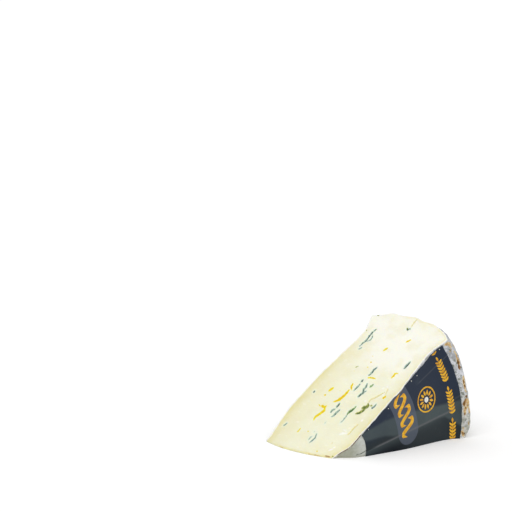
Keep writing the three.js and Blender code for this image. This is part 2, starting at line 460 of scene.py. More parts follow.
# the lower cut shows the same kinds of pocket at its own random places; lengths in millimetres
STROKE_SEED = 11
LOWER_COUNTS = {"blue": 17, "green": 8, "olive": 6, "yellow": 17, "crack_and_shade": 3}
LOWER_ALONG = -30, 36
LOWER_ACROSS = -24, 24
STROKE_LENGTHS = 1.5, 9
STROKE_WIDTHS = 0.8, 1.9
STROKE_TURN = 0.45
STROKE_BEND = 0.12
STROKE_SPOTS = 5
chance = np.random.default_rng(STROKE_SEED)


def lower_strokes(count):
    strokes = []
    for _ in range(count):
        middle = np.array([chance.uniform(*LOWER_ALONG), chance.uniform(*LOWER_ACROSS)]) * MM
        heading = chance.normal(0, STROKE_TURN)
        length = chance.uniform(*STROKE_LENGTHS) * MM
        bend = chance.normal(0, STROKE_BEND) * length
        steps = np.linspace(-0.5, 0.5, STROKE_SPOTS)
        ahead = np.array([math.cos(heading), math.sin(heading)])
        aside = np.array([-ahead[1], ahead[0]])
        line = middle + np.outer(steps * length, ahead) + np.outer(bend * (1 - 4 * steps**2), aside)
        strokes.append((chance.uniform(*STROKE_WIDTHS) * MM, *line))
    return strokes


sheet_ends = np.cumsum([grid[..., 0].size for grid in sheets])
sheet_of = np.searchsorted(sheet_ends, first, side="right")
on_upper = sheet_of == 0
on_lower = sheet_of == 1
on_rind = (sheet_of >= CUT_SHEETS) & (side < STAINS_TO_SIDE)
seen = seen_at(spots)
marks = {}
for kind, strokes in STROKES.items():
    there = on_rind if kind in RIND_KINDS else on_upper
    inside = np.full(len(spots), -FAR_OUTSIDE)
    inside[there] = inside_strokes(seen[there], strokes) * PIXEL_ON_PIECE
    if kind in LOWER_COUNTS:
        inside[on_lower] = inside_strokes(spots[on_lower, :2], lower_strokes(LOWER_COUNTS[kind]))
    marks[kind] = np.maximum(inside, -FAR_OUTSIDE)
SUNK_KINDS = "blue", "green", "olive", "crack_and_shade", "brown"
sunk = np.maximum.reduce([marks[kind] for kind in SUNK_KINDS])


def mesh_of(name, corners, faces):
    mesh = bpy.data.meshes.new(name)
    mesh.from_pydata(corners.tolist(), [], [list(dict.fromkeys(face)) for face in faces.tolist()])
    mesh.validate()
    mesh.polygons.foreach_set("use_smooth", np.ones(len(mesh.polygons), bool))
    return mesh


def mark(mesh, values, kind="FLOAT", domain="POINT"):
    """Keeps values for each corner or face under their names, for the materials and the nodes."""
    for name, numbers in values.items():
        numbers = np.ravel(numbers).astype(np.float32 if kind == "FLOAT" else bool)
        mesh.attributes.new(name, kind, domain).data.foreach_set("value", numbers)


def piece_of(mesh, name):
    piece = bpy.data.objects.new(name, mesh)
    bpy.context.scene.collection.objects.link(piece)
    return piece


# the label lies round the middle of the wheel and keeps the rind under it smooth
LABEL_X = 4.95 * MM
LABEL_Z = 3.5 * MM
LABEL_R = 90.2 * MM
WINDOW_R = 14.3 * MM
FACE_SIDE = 0.999
SKIN_DEPTH = 0.01 * MM

from_middle = np.hypot(spots[:, 0] - TIP_X - LABEL_X, spots[:, 2] - LABEL_Z)
cheese_mesh = mesh_of("cheese_block", spots, quads)
mark(cheese_mesh, {
    "depth": under_rind / MM,
    "from_cut": from_cut / MM,
    "along": from_tip / MM,
    "side": side,
    "covered": (side < -FACE_SIDE) & (from_middle > WINDOW_R) & (from_middle < LABEL_R),
    "rim": (np.abs(side) < FACE_SIDE) & (under_rind < SKIN_DEPTH) & ~on_lower,
    "from_middle": from_middle / MM,
    "sunk": sunk / MM,
})
mark(cheese_mesh, {kind: inside / MM for kind, inside in marks.items()})
mark(cheese_mesh, {"rind": ~on_cut}, "BOOLEAN", "FACE")
cheese = piece_of(cheese_mesh, "cheese_block")


def fill_sockets(node, inputs):
    """Gives the sockets of a node, by name or number, a value or another node's output."""
    for socket, value in inputs.items():
        if isinstance(value, bpy.types.NodeSocket):
            node.id_data.links.new(value, node.inputs[socket])
        else:
            node.inputs[socket].default_value = value


def put_node(tree, kind, inputs=None, **settings):
    node = tree.nodes.new(kind)
    for name, value in settings.items():
        setattr(node, name, value)
    fill_sockets(node, inputs or {})
    return node


def made_from(inputs, kind, **settings):
    """The first output of a new node, put in the tree that its inputs come from."""
    tree = next(value.id_data for value in inputs.values() if isinstance(value, bpy.types.NodeSocket))
    return put_node(tree, kind, inputs, **settings).outputs[0]


def maths(operation, *values):
    return made_from(dict(enumerate(values)), "ShaderNodeMath", operation=operation)


def times(first, *others):
    for other in others:
        first = maths("MULTIPLY", first, other)
    return first


def plus(first, *others):
    for other in others:
        first = maths("ADD", first, other)
    return first


def minus(value, less):
    return maths("SUBTRACT", value, less)


def divided(value, parts):
    return maths("DIVIDE", value, parts)


def higher(value, other):
    return maths("MAXIMUM", value, other)


def marked(tree, name):
    return put_node(tree, "ShaderNodeAttribute", attribute_name=name).outputs["Fac"]


def parts_of(vector):
    return put_node(vector.id_data, "ShaderNodeSeparateXYZ", {0: vector}).outputs


def vector(x, y, z):
    return made_from({0: x, 1: y, 2: z}, "ShaderNodeCombineXYZ")


def between(value, start, end):
    """0 before start, 1 past end and smooth in between, whichever of the two is higher."""
    limits = {0: value, 1: start, 2: end}
    return made_from(limits, "ShaderNodeMapRange", interpolation_type="SMOOTHSTEP")


def grain(place, size, detail=2.0, roughness=0.5):
    """Soft random values around one half, with features of about that size."""
    scale = divided(1, size) if isinstance(size, bpy.types.NodeSocket) else 1 / size
    inputs = {"Vector": place, "Scale": scale, "Detail": detail, "Roughness": roughness}
    return made_from(inputs, "ShaderNodeTexNoise")


def over(share, under, top, strength=1):
    """One colour laid over another by a share."""
    if strength != 1:
        share = times(share, strength)
    colours = {0: share, 6: under, 7: top}
    return put_node(share.id_data, "ShaderNodeMix", colours, data_type="RGBA").outputs[2]


def mottled(place, under, top, size, limits, strength=1, detail=2.0, roughness=0.5):
    """A colour with soft patches of another, of about that size, between limits of their grain."""
    share = between(grain(place, size, detail, roughness), *limits)
    return over(share, under, top, strength)


def paint(red, green, blue):
    """A colour read off in steps of 255, as the shader wants it."""
    shares = [c / 255 for c in (red, green, blue)]
    return tuple(c / 12.92 if c < 0.04045 else ((c + 0.055) / 1.055) ** 2.4 for c in shares) + (1,)


def new_material(name):
    """A material, its tree and shader, and the place on the piece that its patterns follow."""
    material = bpy.data.materials.new(name)
    material.use_nodes = True
    tree = material.node_tree
    place = put_node(tree, "ShaderNodeTexCoord").outputs["Object"]
    return material, tree, tree.nodes["Principled BSDF"], place


def bumped(height, distance):
    return made_from({"Height": height, "Distance": distance}, "ShaderNodeBump")


# paste: cream, paler towards the rim and yellower towards the rind, most of all on the bare
# side, with a white line just inside the rind; depths and lengths are in millimetres here
PASTE = paint(227, 226, 200)
PASTE_PALE = paint(235, 234, 222)
PASTE_DEEP = paint(216, 208, 154)
# the yellow of the paste near the rind, also used as painted shade along the tip
PASTE_EDGE_AND_TIP_SHADE = paint(216, 204, 128)
PASTE_WARM = paint(222, 217, 180)
RIND_LINE = paint(232, 231, 224)
SMEAR = paint(241, 240, 230)
HALO = paint(218, 229, 214)
PALE_ALONG = 55, 105
WARM_DEPTHS = 26, 7
WARM_ALONG = 105, 75
WARM_SIDES = -0.2, 0.6
DEEP_DEPTHS = 10, 0
DEEP_ALONG = 100, 45
EDGE_DEPTHS = 2.6, 0.8
TIP_SHADE_ALONG = 2.2, 0.5
LINE_DEPTHS = 1.25, 0.7
LINE_SIDES = 0.3, 0.9

paste, tree, shader, where = new_material("cheese_paste")
depth = marked(tree, "depth")
along = marked(tree, "along")
across = marked(tree, "side")
wobble = times(minus(grain(where, 5 * MM), 0.5), 5)
soft_depth = plus(depth, wobble)
# paler towards the rim, by the distance along the cut with some noise
rimward = plus(along, times(grain(where, 26 * MM), 40))
colour = over(between(rimward, *PALE_ALONG), PASTE, PASTE_PALE)

warm = between(soft_depth, *WARM_DEPTHS)
warm = times(warm, between(across, *WARM_SIDES), between(along, *WARM_ALONG))
colour = over(warm, colour, PASTE_WARM, 0.6)
bare_side = between(across, -0.9, 0.9)
deep = plus(times(bare_side, 0.62), 0.42)
deep = plus(times(deep, between(along, *DEEP_ALONG)), 0.12)
colour = over(times(deep, between(soft_depth, *DEEP_DEPTHS)), colour, PASTE_DEEP)
thin_edge = times(between(soft_depth, *EDGE_DEPTHS), between(bare_side, 0.9, 0.5))
colour = over(thin_edge, colour, PASTE_EDGE_AND_TIP_SHADE, 0.3)
# painted shade: the edge yellow laid along the rounded edge of the tip, where it meets the floor, less on the
# bare side
tip_shade = between(plus(along, times(wobble, 0.3)), *TIP_SHADE_ALONG)
tip_shade = times(tip_shade, between(across, 0.95, 0.3))
colour = over(tip_shade, colour, PASTE_EDGE_AND_TIP_SHADE, 0.7)

# the knife draws streaks along the cut, and the line inside the rind is wider on the bare side
drawn = vector(divided(along, 14), across, 0)
colour = mottled(where, colour, PASTE_WARM, 12 * MM, (0.45, 0.68), 0.4)
colour = mottled(drawn, colour, SMEAR, 0.16, (0.58, 0.74), 0.3, detail=3)
colour = mottled(where, colour, SMEAR, 2.4 * MM, (0.6, 0.72), 0.1, detail=3)
line_depth = minus(depth, times(between(across, *LINE_SIDES), 0.9))
line_depth = plus(line_depth, times(grain(where, 4 * MM), 0.8))
colour = over(between(line_depth, *LINE_DEPTHS), colour, RIND_LINE)

# each kind of pocket: its light and dark colours, and how strongly it covers the paste
POCKET_COLOURS = {
    # paler smeared paste, partly a painted highlight
    "smear": (paint(236, 234, 226), paint(240, 239, 234), 0.75),
    # cracks, and painted shadow beside the knife smears
    "crack_and_shade": (paint(222, 213, 154), paint(206, 192, 118), 0.8),
    # painted shadow along the lower edge of the tip
    "tip_shadow": (paint(210, 182, 120), paint(132, 98, 58), 0.95),
    "yellow": (paint(224, 212, 0), paint(217, 177, 0), 1.0),
    "blue": (paint(152, 176, 160), paint(44, 76, 70), 0.96),
    "green": (paint(136, 168, 104), paint(38, 86, 26), 0.96),
    "olive": (paint(156, 164, 72), paint(72, 94, 24), 0.96),
}
HALO_REACH = -1.7, 0.2
POCKET_EDGE = -0.22, 0.18
POCKET_CORE = 0.05, 0.5
fray = times(minus(grain(where, 1.1 * MM, 3), 0.5), 1.05)
tone = between(grain(where, 1.7 * MM, 2), 0.36, 0.56)
halo = higher(marked(tree, "blue"), marked(tree, "green"))
colour = over(between(halo, *HALO_REACH), colour, HALO, 0.5)
for kind, (light, dark, cover) in POCKET_COLOURS.items():
    inside = plus(marked(tree, kind), fray)
    core = over(times(between(inside, *POCKET_CORE), tone), light, dark)
    colour = over(between(inside, *POCKET_EDGE), colour, core, cover)
fine = grain(where, 0.9 * MM, 3)
fill_sockets(shader, {
    "Base Color": colour,
    "Roughness": plus(times(grain(where, 7 * MM), 0.3), 0.34),
    "Specular IOR Level": 0.35,
    "Subsurface Weight": 0.35,
    "Subsurface Radius": (1.0, 0.8, 0.45),
    "Subsurface Scale": 1.8 * MM,
    "Normal": bumped(plus(fine, times(grain(drawn, 0.07, 2), 0.8)), 0.12 * MM),
})

# rind: pale grey bloom with grey-green mottles, and brown and tan patches in a band on the rim
RIND = paint(176, 178, 183)
RIND_PALE = paint(204, 206, 211)
RIND_MOTTLE = paint(130, 132, 130)
RIND_FLECK = paint(128, 132, 116)
RIND_SPECK = paint(84, 86, 76)
RIND_TAN = paint(186, 148, 94)
RIND_TAN_PALE = paint(206, 184, 134)
RIND_BROWN = paint(136, 96, 46)
RIND_DARK = paint(80, 60, 34)
RIND_LOW = paint(196, 193, 178)
RIND_GREY = paint(104, 110, 98)
RIND_SMOOTH = paint(147, 150, 132)
RIND_SMOOTH_PALE = paint(186, 190, 184)
RIND_DRY = paint(96, 72, 46)
# painted shadow along the foot of the window
RIND_FOOT_SHADOW = paint(112, 112, 88)
LOW_HEIGHTS = 46 * MM, 4 * MM

rind, tree, shader, where = new_material("cheese_rind")
height = parts_of(where)[2]
colour = mottled(where, RIND, RIND_PALE, 9 * MM, (0.4, 0.58), detail=3)
colour = over(between(height, *LOW_HEIGHTS), colour, RIND_LOW, 0.75)
colour = mottled(where, colour, RIND_MOTTLE, 4.2 * MM, (0.47, 0.66), 0.5, detail=3)
colour = mottled(where, colour, RIND_FLECK, 1.5 * MM, (0.5, 0.6), 0.55, detail=3, roughness=0.6)
colour = mottled(where, colour, RIND_PALE, 2.1 * MM, (0.5, 0.36), 0.6)
colour = mottled(where, colour, RIND_SPECK, 1.2 * MM, (0.6, 0.68), 0.45, detail=3, roughness=0.6)

# the flat faces were pressed smooth round the middle of the wheel; there the rind is drawn darker and more
# olive at the middle and paler out to 15 mm
from_middle = marked(tree, "from_middle")
smooth_tone = over(between(from_middle, 3, 15), RIND_SMOOTH, RIND_SMOOTH_PALE)
on_flat = minus(1, marked(tree, "rim"))
smooth_share = times(between(from_middle, 60, 14), on_flat)
colour = over(smooth_share, colour, smooth_tone, 0.8)

# stains: those of the strokes, and more of the same on the rest of the rim
STAIN_EDGE = -0.4, 0.15
GREY_EDGE = -0.35, 0.2
across = marked(tree, "side")
hidden_rim = times(marked(tree, "rim"), between(across, -0.5, -0.2))
elsewhere = plus(grain(where, 8.5 * MM, 4, 0.6), times(hidden_rim, 0.05))
fray = times(minus(grain(where, 0.9 * MM, 3), 0.5), 1.8)
blotch = grain(where, 1.5 * MM, 3)
tan_here = between(plus(marked(tree, "tan"), fray), *STAIN_EDGE)
tan_share = higher(tan_here, between(elsewhere, 0.66, 0.7))
tan_tone = over(between(blotch, 0.42, 0.56), RIND_TAN_PALE, RIND_TAN)
colour = over(tan_share, colour, tan_tone, 0.95)
brown_here = between(plus(marked(tree, "brown"), fray), *STAIN_EDGE)
brown_share = times(between(elsewhere, 0.7, 0.74), between(blotch, 0.42, 0.55))
brown_tone = over(between(blotch, 0.45, 0.65), RIND_BROWN, RIND_DARK)
colour = over(higher(brown_here, brown_share), colour, brown_tone, 0.95)
# grey-green flecks, and painted shade in the crack at the foot of the window
grey_here = between(plus(marked(tree, "grey"), fray), *GREY_EDGE)
colour = over(grey_here, colour, RIND_GREY, 0.85)

# the cut shows a thin dry line at the edge of the rind, brown beside the smooth middle
EDGE_LINE = 1.15, 0.75
MIDDLE_EDGE = 15, 13.6
edge_wobble = times(grain(where, 3 * MM), 0.7)
at_edge = between(plus(marked(tree, "from_cut"), edge_wobble), *EDGE_LINE)
colour = over(at_edge, colour, RIND_LINE, 0.6)
in_middle = times(between(from_middle, *MIDDLE_EDGE), between(across, 0, -0.5))
dry = times(in_middle, between(blotch, 0.3, 0.45), at_edge)
dry = times(dry, between(height, 1.2 * MM, 2.5 * MM))
colour = over(dry, colour, RIND_DRY, 0.95)
# painted shadow: a dark olive strip along the foot of the window, just above the floor
foot_shadow = times(in_middle, between(height, 1.6 * MM, 0.3 * MM))
colour = over(foot_shadow, colour, RIND_FOOT_SHADOW, 0.6)
fill_sockets(shader, {
    "Base Color": colour,
    "Roughness": 0.75,
    "Specular IOR Level": 0.25,
    "Normal": bumped(grain(where, 1.1 * MM, 4, 0.65), 0.4 * MM),
})


def sized_tree(name, sizes):
    """An empty tree of geometry nodes with a named input for each size, and those inputs."""
    tree = bpy.data.node_groups.new(name, "GeometryNodeTree")
    for way in ("INPUT", "OUTPUT"):
        tree.interface.new_socket("Geometry", in_out=way, socket_type="NodeSocketGeometry")
    for label, size in sizes.items():
        kind = "NodeSocketInt" if isinstance(size, int) else "NodeSocketFloat"
        tree.interface.new_socket(label, in_out="INPUT", socket_type=kind)
    return tree, put_node(tree, "NodeGroupInput").outputs


def end_tree(geometry, *coats):
    """Realizes the instances, lays the materials on and ends the tree."""
    geometry = made_from({0: geometry}, "GeometryNodeRealizeInstances")
    for material, selection in coats:
        inputs = {"Geometry": geometry, "Selection": selection, "Material": material}
        geometry = made_from(inputs, "GeometryNodeSetMaterial")
    put_node(geometry.id_data, "NodeGroupOutput", {0: geometry})


def made_plain(piece):
    """Keeps the result of a piece's modifiers as its own mesh."""
    graph = bpy.context.evaluated_depsgraph_get()
    live = piece.evaluated_get(graph)
    plain = bpy.data.meshes.new_from_object(live, preserve_all_data_layers=True, depsgraph=graph)
    piece.modifiers.clear()
    piece.data = plain


def carried_out(piece, tree, sizes):
    """Runs a tree on a piece with these sizes and keeps the result."""
    modifier = piece.modifiers.new(tree.name, "NODES")
    modifier.node_group = tree
    for socket in tree.interface.items_tree:
        if socket.in_out == "INPUT" and socket.name in sizes:
            modifier[socket.identifier] = sizes[socket.name]
    made_plain(piece)


def named_value(tree, name, kind="FLOAT"):
    return put_node(tree, "GeometryNodeInputNamedAttribute", {"Name": name}, data_type=kind).outputs[0]


# relief: the bloomed rind is lumpy, draining mats leave grooves in its flat faces, the knife
# leaves the cuts almost even, and the mould pockets are hollow
RELIEF_SIZES = {
    "Rind height": 1.3 * MM,
    "Rind lump": 4.2 * MM,
    "Cut height": 0.16 * MM,
    "Cut lump": 9 * MM,
    "Groove pitch": 9.5 * MM,
    "Groove width": 1.0 * MM,
    "Groove depth": 0.32 * MM,
    "Pocket depth": 0.75 * MM,
    "Smear height": 0.2 * MM,
}
GROOVE_HEADING = math.radians(15.8)
COVERED_SHARE = 0.12
FLAT_SIDES = 0.995, 0.9999
POCKET_WALL = -0.35, 0.75
SMEAR_WALL = -0.5, 0.6

relief, size = sized_tree("cheese_relief", RELIEF_SIZES)
spot = put_node(relief, "GeometryNodeInputPosition").outputs[0]
past_cut = between(named_value(relief, "from_cut"), 0, 2)
past_rind = between(named_value(relief, "depth"), 0, 2)
bare = minus(1, named_value(relief, "covered"))
rough_share = times(bare, between(named_value(relief, "from_middle"), 12, 40))
rough_share = higher(rough_share, COVERED_SHARE)
lumps = minus(grain(spot, size["Rind lump"], 3.0, 0.55), 0.58)
lumps = times(lumps, size["Rind height"], past_cut, rough_share)
waves = minus(grain(spot, size["Cut lump"]), 0.6)
waves = times(waves, size["Cut height"], past_rind)
apart = parts_of(spot)
over_grooves = times(apart[2], math.cos(GROOVE_HEADING))
over_grooves = minus(over_grooves, times(apart[0], math.sin(GROOVE_HEADING)))
in_pitch = maths("PINGPONG", over_grooves, divided(size["Groove pitch"], 2))
flat_face = between(maths("ABSOLUTE", named_value(relief, "side")), *FLAT_SIDES)
groove = between(in_pitch, size["Groove width"], 0)
groove = times(groove, flat_face, size["Groove depth"], past_cut, bare)
hollow = between(named_value(relief, "sunk"), *POCKET_WALL)
hollow = times(hollow, size["Pocket depth"])
smeared = between(named_value(relief, "smear"), *SMEAR_WALL)
smeared = times(smeared, size["Smear height"])
height = minus(plus(lumps, waves, smeared), plus(groove, hollow))
outwards = put_node(relief, "GeometryNodeInputNormal").outputs[0]
shift = made_from({0: outwards, "Scale": height}, "ShaderNodeVectorMath", operation="SCALE")
moved = made_from({"Geometry": size["Geometry"], "Offset": shift}, "GeometryNodeSetPosition")
end_tree(moved, (paste, True), (rind, named_value(relief, "rind", "BOOLEAN")))
carried_out(cheese, relief, RELIEF_SIZES)
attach(cheese, "root")
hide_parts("cheese")


# ---- label sheet ----
# The real label is a thin printed film with a round window at the middle of the wheel, glued on
# before the wheel was cut. It wrinkles a little, has two folds and is torn back along the cut.
LABEL_INSET = 0.15 * MM
LABEL_SETBACK = 1.6 * MM
SETBACK_AT = 76 * MM
SETBACK_REACH = 13 * MM
LABEL_LIFT = 0.32 * MM
LABEL_FILM = 0.12 * MM
LABEL_STEPS_OUT = 150
LABEL_STEPS_ROUND = 130
LABEL_STEPS_PULL = 0.3
RAGGED = 0.12 * MM
RAGGED_LONG = 1.9 * MM
RAGGED_SHORT = 0.83 * MM

# the foot of the label stands back a little from the rim
LABEL_FOOT = 0.1 * MM
LABEL_TRIM = 1.4 * MM
TRIM_BELOW = math.radians(14)
TRIM_OVER = math.radians(16)
TRIM_POWER = 1.3
TO_TIP_CORNER = 6 * MM

# folds: both ends in pixels of the photograph, strength, and half the width in pixels
FOLDS = [
    ((369.8, 450.2), (456.0, 408.2), 1.0, 0.9),
    ((416.0, 385.5), (451.0, 351.5), 0.42, 0.5),
    ((446.0, 404.0), (463.0, 394.0), 0.3, 0.9),
]
FOLD_HEIGHT = 0.22 * MM
FOLD_FADE_IN = 0.12
FOLD_FADE_OUT = 0.07

# a broad soft painted sheen, a painted reflection, lies between two borders: place across, upper and lower
# border, strength
SHEEN = [
    (362, 434, 442, 0.7),
    (371, 429, 440, 0.85),
    (385, 421, 436, 0.72),
    (395, 417, 436, 0.85),
    (405, 413, 433, 0.95),
    (433, 407, 419.5, 1.0),
    (445, 404, 417, 0.95),
    (453, 402, 421, 0.85),
    (463, 399, 427, 0.6),
]
SHEEN_SOFT = 4
# painted light just under the long fold
GLOW_SHARE = 0.9
GLOW_REACH = 2.6
# painted shade, darkest at the lower left below the long fold
SHADE_FROM = 2
SHADE_SOFT = 8
SHADE_RUN = 0.55
SHADE_FADE = 0.35
WAVE_HEIGHT = 0.10 * MM
WAVE_LONG = 7.1 * MM
WAVE_ROUND = 5.3 * MM
WAVE_SWAY = 9 * MM
WAVE_DRIFT = 23 * MM
PUCKER_HEIGHT = 0.16 * MM
PUCKER_REACH = 5 * MM
PUCKERS = 62
PUCKER_SWAY = 9


def torn_back(r):
    return LABEL_INSET + LABEL_SETBACK * bell((r - SETBACK_AT) / SETBACK_REACH)


def labelled_face(x, z):
    """Where the labelled face lies at a place seen from its tip corner."""
    from_axis = np.hypot(x - AXIS_X, z - AXIS_Z)
    return face_drop(from_axis, np.hypot(x, z), -1) - HALF_THICK


def label_grid():
    """Places over the label, and their distance and turn from its middle."""
    r = WINDOW_R + (LABEL_R - WINDOW_R) * eased(LABEL_STEPS_OUT, LABEL_STEPS_PULL)[:, None]
    share = eased(LABEL_STEPS_ROUND, LABEL_STEPS_PULL)[None, :]
    ragged = RAGGED * (np.sin(r / RAGGED_LONG) + np.sin(r / RAGGED_SHORT + 1))
    sunk = LABEL_X * CUT_SLOPE[0] - LABEL_Z * CUT_SLOPE[1]
    low = np.arcsin((LABEL_FOOT - LABEL_Z) / r)
    back = torn_back(r) + ragged - cut_rise(r + TO_TIP_CORNER, -1)
    high = WEDGE_ANGLE - np.arcsin((back - sunk) / r)
    angle = low + (high - low) * share
    trim = LABEL_TRIM * np.clip((TRIM_BELOW - angle) / TRIM_OVER, 0, 1) ** TRIM_POWER
    r = r - trim * (r - WINDOW_R) / (LABEL_R - WINDOW_R)
    return LABEL_X + r * np.cos(angle), LABEL_Z + r * np.sin(angle), r, angle


def beside_line(seen, start, end):
    """How many pixels above a line each spot shows, and its share of the way along it."""
    ahead = np.array(end) - start
    length = np.hypot(*ahead)
    off = seen - start
    above = (off[..., 0] * ahead[1] - off[..., 1] * ahead[0]) / length
    return above, off @ ahead / length**2


x, z, r, angle = label_grid()
seen = seen_at(np.stack([x + TIP_X, labelled_face(x, z) - LABEL_LIFT, z], -1))
fold_near = np.zeros(x.shape)
for start, end, strength, width in FOLDS:
    above, run = beside_line(seen, start, end)
    ends_faded = smooth(run / FOLD_FADE_IN) * smooth((1 - run) / FOLD_FADE_OUT)
    fold_near = np.maximum(fold_near, strength * ends_faded * bell(above / width))
above_fold, fold_run = beside_line(seen, *FOLDS[0][:2])
across, *borders = np.array(SHEEN).T
upper, lower, strength = [np.interp(seen[..., 0], across, border) for border in borders]
under_upper = smooth((seen[..., 1] - upper) / SHEEN_SOFT + 0.5)
over_lower = smooth((lower - seen[..., 1]) / SHEEN_SOFT + 0.5)
glow = GLOW_SHARE * np.exp(-np.abs(above_fold) / GLOW_REACH) * (above_fold < 0)
shade = smooth((-above_fold - SHADE_FROM) / SHADE_SOFT) * smooth((SHADE_RUN - fold_run) / SHADE_FADE)
waves = np.sin(x / WAVE_LONG + 2 * np.sin(z / WAVE_SWAY)) * np.sin(z / WAVE_ROUND + x / WAVE_DRIFT)
pucker = np.sin(angle * PUCKERS + 3 * np.sin(angle * PUCKER_SWAY)) * np.exp(-(LABEL_R - r) / PUCKER_REACH)
lift = LABEL_LIFT + FOLD_HEIGHT * fold_near + WAVE_HEIGHT * waves + PUCKER_HEIGHT * pucker
corners = np.stack([x + TIP_X, labelled_face(x, z) - lift, z], -1).reshape(-1, 3)

# the film is navy above the long fold and greenish grey below it, partly its own colour and partly painted
# reflection above and painted shade below; a painted sheen lies above the fold, and it has a pale printed
# band with a round end
LABEL_NAVY = paint(36, 45, 60)
LABEL_LOW = paint(34, 42, 46)
LABEL_DARK = paint(1, 8, 18)
LABEL_SHEEN = paint(67, 77, 79)
LABEL_FOLD_HIGHLIGHT = paint(104, 104, 106)
LABEL_BAND = paint(86, 93, 107)
BAND_R = 47 * MM
BAND_HALF = 8.2 * MM
BAND_START = math.radians(9)
BAND_EDGE = 0.15, -0.15
NAVY_ABOVE = 0, 16

arc = np.maximum(BAND_START - angle, 0) * r
label_mesh = mesh_of("label_sheet", corners, grid_quads(x.shape[0], x.shape[1], 0))
mark(label_mesh, {
    "fold": fold_near,
    "above_fold": above_fold,
    "sheen": np.maximum(under_upper * over_lower, glow) * strength,
    "shade": shade,
    "to_cut": r * (WEDGE_ANGLE - angle) / MM,
    "to_band": (np.hypot(arc, np.abs(r - BAND_R)) - BAND_HALF) / MM,
})

slate, tree, shader, where = new_material("label_slate")
# partly the film's own colour, partly painted reflection making it bluer above the long fold and painted
# shade darker below
drift = times(minus(grain(where, 16 * MM, 3), 0.5), 10)
raised = plus(marked(tree, "above_fold"), drift)
colour = over(between(raised, *NAVY_ABOVE), LABEL_LOW, LABEL_NAVY)
# painted shade at the lower left, below the long fold
colour = over(marked(tree, "shade"), colour, LABEL_DARK, 0.9)
# painted sheen: the reflection above the long fold and the light just under it, clouded, then a few more soft
# painted sheen patches
cloudy = plus(times(grain(where, 11 * MM, 3), 0.5), 0.72)
colour = over(times(marked(tree, "sheen"), cloudy), colour, LABEL_SHEEN)
colour = mottled(where, colour, LABEL_SHEEN, 7 * MM, (0.6, 0.75), 0.2, detail=3)
colour = over(between(marked(tree, "to_band"), *BAND_EDGE), colour, LABEL_BAND, 0.6)
# painted highlight along the ridge of each fold
colour = over(marked(tree, "fold"), colour, LABEL_FOLD_HIGHLIGHT, 0.55)
fill_sockets(shader, {
    "Base Color": colour,
    "Roughness": plus(times(grain(where, 12 * MM), 0.2), 0.24),
    "Specular IOR Level": 0.12,
    "Normal": bumped(grain(where, 1.6 * MM), 0.03 * MM),
})
label = piece_of(label_mesh, "label_sheet")
film = label.modifiers.new("film", "SOLIDIFY")
film.thickness = LABEL_FILM
film.offset = -1
made_plain(label)
label.data.materials.append(slate)
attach(label, "root")
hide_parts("label")


# ---- gold print on the label ----
# The real label is printed in one gold ink, with a small mark in cream. Here a braid of one
# curved link, a garland of leaf pairs and a rosette are laid out flat and then bent round the
# middle of the label, where the film holds them and the cuts end them.
GOLD = paint(222, 170, 30)
GOLD_DEEP = paint(196, 138, 16)
CREAM = paint(226, 224, 214)
CREAM_WORN = paint(200, 200, 196)
PRINT_THICK = 0.05 * MM
PRINT_SUNK = 0.01 * MM
PRINT_INSET = 0.65 * MM
PRINT_FOOT = 0.35 * MM
HELD_BACK = 0.985
LEAF_SIDES = 20

gold, _, shader, where = new_material("label_gold")
fill_sockets(shader, {
    "Base Color": mottled(where, GOLD, GOLD_DEEP, 2.5 * MM, (0.4, 0.65)),
    "Roughness": 0.38,
    "Specular IOR Level": 0.3,
    "Normal": bumped(grain(where, 0.8 * MM), 0.02 * MM),
})

cream, _, shader, where = new_material("label_cream")
fill_sockets(shader, {
    "Base Color": mottled(where, CREAM, CREAM_WORN, 1.5 * MM, (0.45, 0.7)),
    "Roughness": 0.45,
    "Normal": bumped(grain(where, 0.8 * MM), 0.02 * MM),
})


def reshaped(geometry, x, y, z):
    """Geometry with its corners moved to new places."""
    return made_from({"Geometry": geometry, "Position": vector(x, y, z)}, "GeometryNodeSetPosition")


def spot_parts(tree):
    return parts_of(put_node(tree, "GeometryNodeInputPosition").outputs[0])


def film_shape(tree):
    return put_node(tree, "GeometryNodeObjectInfo", {"Object": label}).outputs["Geometry"]


# bends a flat layout, X along the turn and Y outwards, onto the label; what would pass the cut or
# the foot is pressed back along their line
bend, ask = sized_tree("bend_onto_label", {"Radius": 0.05, "Turn": 0.0})
flat_spot = spot_parts(bend)
radius = plus(ask["Radius"], flat_spot[1])
turn = plus(ask["Turn"], divided(flat_spot[0], ask["Radius"]))
bent_x = plus(times(radius, maths("COSINE", turn)), LABEL_X)
bent_z = plus(times(radius, maths("SINE", turn)), LABEL_Z)
off_tear = divided(minus(radius, SETBACK_AT), SETBACK_REACH)
tear = maths("EXPONENT", times(off_tear, off_tear, -1))
room = plus(times(tear, LABEL_SETBACK), PRINT_INSET)
to_cut = minus(times(bent_x, CUT_SLOPE[0]), times(bent_z, CUT_SLOPE[1]))
past = times(higher(minus(room, to_cut), 0), HELD_BACK)
bent_x = plus(bent_x, times(past, CUT_SLOPE[0]), TIP_X)
bent_z = minus(bent_z, times(past, CUT_SLOPE[1]))
below = higher(minus(LABEL_FOOT + PRINT_FOOT, bent_z), 0)
bent_z = plus(bent_z, times(below, HELD_BACK))
hit = put_node(bend, "GeometryNodeRaycast", {
    "Target Geometry": film_shape(bend),
    "Source Position": vector(bent_x, -2 * HALF_THICK, bent_z),
    "Ray Direction": (0, 1, 0),
    "Ray Length": 1.0,
}).outputs["Hit Position"]
height = minus(plus(parts_of(hit)[1], PRINT_SUNK), flat_spot[2])
bent = reshaped(ask["Geometry"], bent_x, height, bent_z)
bent = made_from({"Mesh": bent}, "GeometryNodeFlipFaces")
put_node(bend, "NodeGroupOutput", {0: bent})


